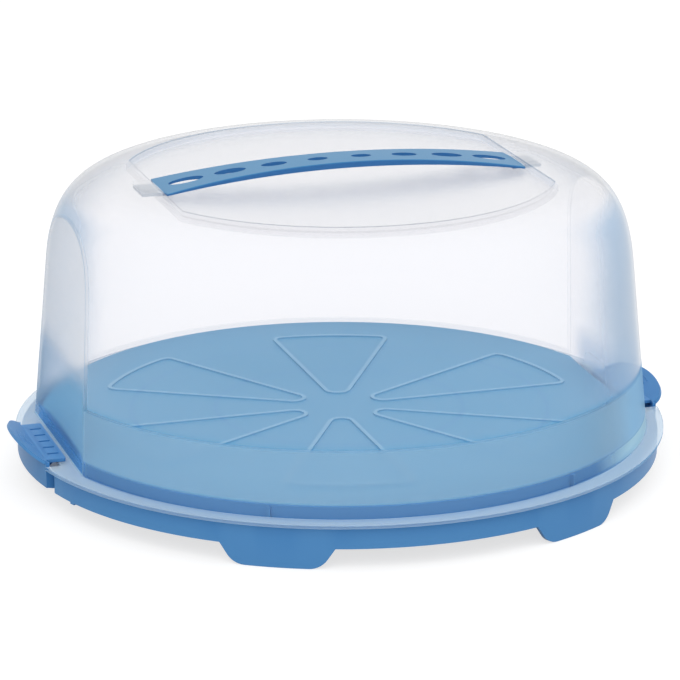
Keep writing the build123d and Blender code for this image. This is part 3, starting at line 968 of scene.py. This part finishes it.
@dataclass
class Lid:
    """The clear dome."""

    finish: ClearMoulding = field(default_factory=lambda: ClearMoulding("lid_clear"))

    def build(self) -> None:
        """Dresses the dome."""
        dress("lid_hood", self.finish.make())


@dataclass
class Handle:
    """The strap handle."""

    finish: StrapMoulding = field(
        default_factory=lambda: StrapMoulding(
            "handle_blue",
            body=(0.050, 0.210, 0.405),
            pale=(0.08, 0.26, 0.46),
            roughness=0.36,
            specular=0.22,
        )
    )

    def build(self) -> None:
        """Dresses the strap."""
        dress("carry_handle", self.finish.make())


@dataclass
class Latches:
    """The two side latches, with fine finger ridges on their grips.

    Attributes:
        finish: The plastic of both.
        grip_out: Where the grip starts, out from the carrier's middle, in metres.
        grip_height: Height of the grip's top face there, in metres.
        grip_tilt: Tilt of the grip, in degrees.
        ridge_places: How far each ridge's middle lies out along the grip, in metres.
        ridge_curve: Radius that a ridge bends with, in metres.
        ridge_half_span: Half the angle that a ridge covers, in degrees.
        ridge_radius: Radius of a ridge's round section, in metres.
        ridge_sunk: How far the middle of that section lies below the grip's face, in metres.
        ridge_sides: Number of sides of that section.
        ridge_steps: Number of steps that a ridge is swept in.
    """

    finish: BlueMoulding = field(
        default_factory=lambda: BlueMoulding(
            "latch_blue", body=(0.050, 0.195, 0.460), specular=0.08
        )
    )
    grip_out: float = 167.0 * MM
    grip_height: float = 25.6 * MM
    grip_tilt: float = 31.0
    ridge_places: tuple[float, ...] = (4.2 * MM, 6.4 * MM, 8.6 * MM)
    ridge_curve: float = 42.0 * MM
    ridge_half_span: float = 13.0
    ridge_radius: float = 0.4 * MM
    ridge_sunk: float = 0.15 * MM
    ridge_sides: int = 10
    ridge_steps: int = 14

    def build(self) -> None:
        """Dresses both latches in one finish and adds their ridges."""
        material = self.finish.make()
        for side, turn in (("left", math.pi), ("right", 0.0)):
            dress(f"latch_{side}", material)
            add_piece(f"grip_ridges_{side}", self.ridges(turn), material, f"{side}_latch")

    def ridges(self, turn: float) -> bmesh.types.BMesh:
        """Models one grip's ridges, each a round section swept along an arc.

        Args:
            turn: The latch's turn about the upright axis, in radians.

        Returns:
            The ridges, closed at their ends.
        """
        shape = bmesh.new()
        for out in self.ridge_places:
            self.add_ridge(shape, out)
        tilt = Matrix.Rotation(math.radians(-self.grip_tilt), 4, "Y")
        seat = Matrix.Translation((self.grip_out, 0.0, self.grip_height))
        around = Matrix.Rotation(turn, 4, "Z")
        bmesh.ops.transform(shape, matrix=around @ seat @ tilt, verts=shape.verts)
        bmesh.ops.recalc_face_normals(shape, faces=shape.faces)
        return shape

    def add_ridge(self, shape: bmesh.types.BMesh, out: float) -> None:
        """Adds one ridge in the grip's own plane.

        Args:
            shape: The mesh that gets it.
            out: How far its middle lies out along the grip, in metres.
        """
        centre = Matrix.Translation((out - self.ridge_curve, 0.0, 0.0))
        half = math.radians(self.ridge_half_span)
        section = self.ridge_section()
        rings = []
        for step in range(self.ridge_steps + 1):
            turn = Matrix.Rotation(half * (2 * step / self.ridge_steps - 1), 4, "Z")
            rings.append([shape.verts.new(centre @ turn @ point) for point in section])
        for ring, after in zip(rings, rings[1:]):
            for side in range(self.ridge_sides):
                shape.faces.new((ring[side - 1], ring[side], after[side], after[side - 1]))
        shape.faces.new(rings[0])
        shape.faces.new(rings[-1])

    def ridge_section(self) -> list[Vector]:
        """Builds the corners of a ridge's round section, as far out as its arc's radius.

        Returns:
            The corners, in the upright plane through the arc's centre.
        """
        corners = []
        for side in range(self.ridge_sides):
            angle = 2 * math.pi * side / self.ridge_sides
            out = self.ridge_curve - self.ridge_radius * math.sin(angle)
            up = self.ridge_radius * math.cos(angle) - self.ridge_sunk
            corners.append(Vector((out, 0.0, up)))
        return corners


# ---------------------------------------------------------------- studio
@dataclass(frozen=True)
class Lamp:
    """One square lamp that points at the carrier.

    Attributes:
        name: The lamp's name.
        place: Where it hangs, in metres.
        size: Length of its side, in metres.
        power: Its power, in watts.
        aim: The point that it shines at, in metres.
    """

    name: str
    place: tuple[float, float, float]
    size: float
    power: float
    aim: tuple[float, float, float] = (0.0, 0.0, 0.08)

    def hang(self) -> None:
        """Hangs the lamp, which leaves no reflection of its own."""
        lamp = bpy.data.lights.new(self.name, "AREA")
        lamp.size = self.size
        lamp.energy = self.power
        holder = bpy.data.objects.new(self.name, lamp)
        holder.location = self.place
        direction = Vector(self.aim) - Vector(self.place)
        holder.rotation_euler = direction.to_track_quat("-Z", "Y").to_euler()
        holder.visible_glossy = False
        bpy.context.scene.collection.objects.link(holder)


@dataclass
class Studio:
    """Pale floor, soft light and the camera.

    Attributes:
        floor_half: Half the floor's width, in metres.
        floor_drop: How far the floor lies below the feet, in metres.
        camera_place: Where the camera stands.
        camera_aim: The direction it looks in.
        lens: Focal length, in millimetres.
        sensor: Width of the sensor, in millimetres.
        floor_base: Grey level of the floor that takes the shadow.
        floor_glow: What the floor adds to that where it is seen.
        sky: Strength of the light from all round.
        lamps: The soft lamps.
    """

    floor_half: float = 8.0
    floor_drop: float = 0.2 * MM
    camera_place: Vector = field(default_factory=lambda: Vector((-0.5138, -1.6308, 0.5829)))
    camera_aim: Vector = field(default_factory=lambda: Vector((0.2878, 0.9129, -0.2894)))
    lens: float = 178.06
    sensor: float = 36.0
    floor_base: float = 0.38
    floor_glow: float = 0.70
    sky: float = 0.80
    lamps: tuple[Lamp, ...] = (
        Lamp("key", (-0.9, -1.8, 1.9), 2.2, 29.0),
        Lamp("fill", (1.8, -0.6, 1.6), 1.8, 10.0),
    )

    def build(self) -> None:
        """Makes the floor, the light and the camera."""
        self.add_floor()
        self.add_world()
        for lamp in self.lamps:
            lamp.hang()
        self.add_camera()
        log.info("set up the studio with %d lamps", len(self.lamps))

    def add_floor(self) -> None:
        """Lays a pale floor that keeps the carrier's soft shadow."""
        mesh = bpy.data.meshes.new("floor")
        shape = bmesh.new()
        level = Matrix.Translation((0.0, 0.0, -self.floor_drop))
        bmesh.ops.create_grid(shape, x_segments=1, y_segments=1, size=self.floor_half, matrix=level)
        shape.to_mesh(mesh)
        shape.free()
        floor = bpy.data.objects.new("floor", mesh)
        bpy.context.scene.collection.objects.link(floor)
        material = bpy.data.materials.new("floor_white")
        material.use_nodes = True
        sheet = NodeSheet(material.node_tree)
        shader = material.node_tree.nodes["Principled BSDF"]
        glow = sheet.times(self.seen(sheet), self.floor_glow)
        sheet.feed(shader, Base_Color=(self.floor_base,) * 3, Roughness=1.0, Specular_IOR_Level=0.0)
        sheet.feed(shader, Emission_Color=WHITE, Emission_Strength=glow)
        mesh.materials.append(material)

    def add_world(self) -> None:
        """Surrounds the carrier with even white light."""
        world = bpy.data.worlds.new("studio_white")
        bpy.context.scene.world = world
        world.use_nodes = True
        sheet = NodeSheet(world.node_tree)
        background = world.node_tree.nodes["Background"]
        sheet.feed(background, Color=WHITE, Strength=sheet.toward(self.seen(sheet), self.sky, 1.0))

    def seen(self, sheet: NodeSheet) -> object:
        """Builds the mask of what the camera sees, straight, in gloss or through the clear lid.

        Args:
            sheet: The nodes of a material or of the world.

        Returns:
            A value that is 1 where it is seen.
        """
        path = sheet.add("ShaderNodeLightPath")
        rays = ("Is Camera Ray", "Is Glossy Ray", "Is Transmission Ray")
        return sheet.most(*(path.outputs[ray] for ray in rays))

    def add_camera(self) -> None:
        """Sets the camera up."""
        camera = bpy.data.cameras.new("camera")
        camera.lens = self.lens
        camera.sensor_width = self.sensor
        holder = bpy.data.objects.new("camera", camera)
        holder.location = self.camera_place
        holder.rotation_euler = self.camera_aim.to_track_quat("-Z", "Y").to_euler()
        bpy.context.scene.collection.objects.link(holder)
        bpy.context.scene.camera = holder


def main() -> None:
    """Builds the carrier's sub-assemblies and the studio around them."""
    logging.basicConfig(level=logging.INFO, format="%(name)s: %(message)s")
    bpy.context.scene.view_settings.view_transform = "Standard"
    for part in (Tray(), Lid(), Handle(), Latches(), Studio()):
        part.build()


if __name__ == "__main__":
    main()
